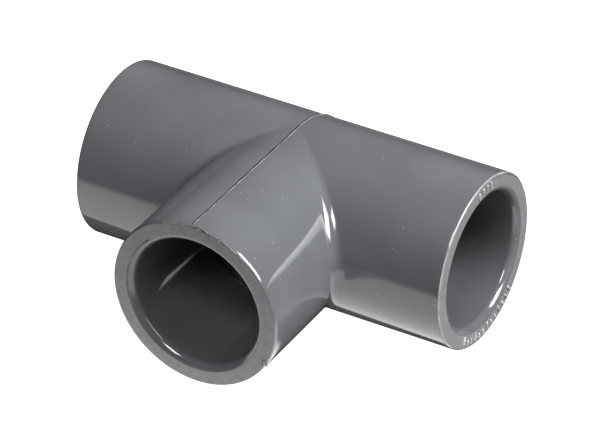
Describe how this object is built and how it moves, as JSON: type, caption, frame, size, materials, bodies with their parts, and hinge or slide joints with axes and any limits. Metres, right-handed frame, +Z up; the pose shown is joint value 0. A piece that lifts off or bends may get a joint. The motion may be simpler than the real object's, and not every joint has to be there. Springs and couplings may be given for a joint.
{
  "type": "pipe tee",
  "caption": "Equal pipe tee moulded in one piece, with three plain solvent-weld sockets, pipe stops and a filleted crotch.",
  "frame": {"origin": "on the surface that the tee lies on, under the middle of its box; the axes of run and branch cross at (0, 0.01085, 0.0176)", "axes": "+X along the run, -Y out of the branch's mouth, +Z up, square to both axes"},
  "size_m": [0.0796, 0.0566, 0.0352],
  "materials": {
    "pvc_grey": "semi-gloss moulded grey PVC-U"
  },
  "bodies": {
    "root": {"tee_body": "pvc_grey"}
  },
  "joints": []
}
